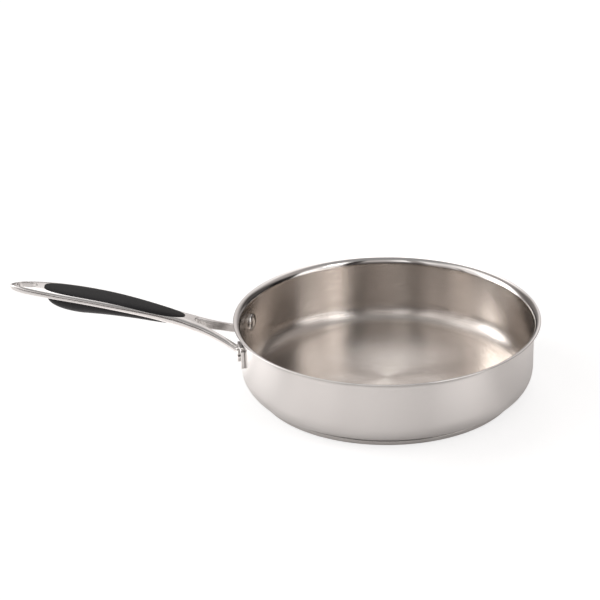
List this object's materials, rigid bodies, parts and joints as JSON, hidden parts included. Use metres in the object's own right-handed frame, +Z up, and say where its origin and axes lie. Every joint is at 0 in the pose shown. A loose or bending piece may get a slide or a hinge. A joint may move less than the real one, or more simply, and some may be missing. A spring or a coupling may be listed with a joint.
{
  "type": "saute pan",
  "caption": "Straight-sided steel saute pan with a flared lip, a bonded base and a long arched handle with black grips, a forked root and a hanging eye.",
  "frame": {"origin": "centre of the underside of the base, on the surface that the pan stands on", "axes": "+Z up along the axis of the round pan, the handle points along -X"},
  "size_m": [0.486, 0.28, 0.0983],
  "materials": {
    "vessel_steel": "brushed",
    "core_aluminium": "matte",
    "base_steel": "satin",
    "handle_steel": "polished",
    "rivet_steel": "polished",
    "grip_black": "matte"
  },
  "bodies": {
    "root": {"pan_vessel": "vessel_steel", "base_core": "core_aluminium", "base_cap": "base_steel", "handle_frame": "handle_steel", "upper_grip": "grip_black", "lower_grip": "grip_black", "handle_rivets": "rivet_steel"}
  },
  "joints": []
}
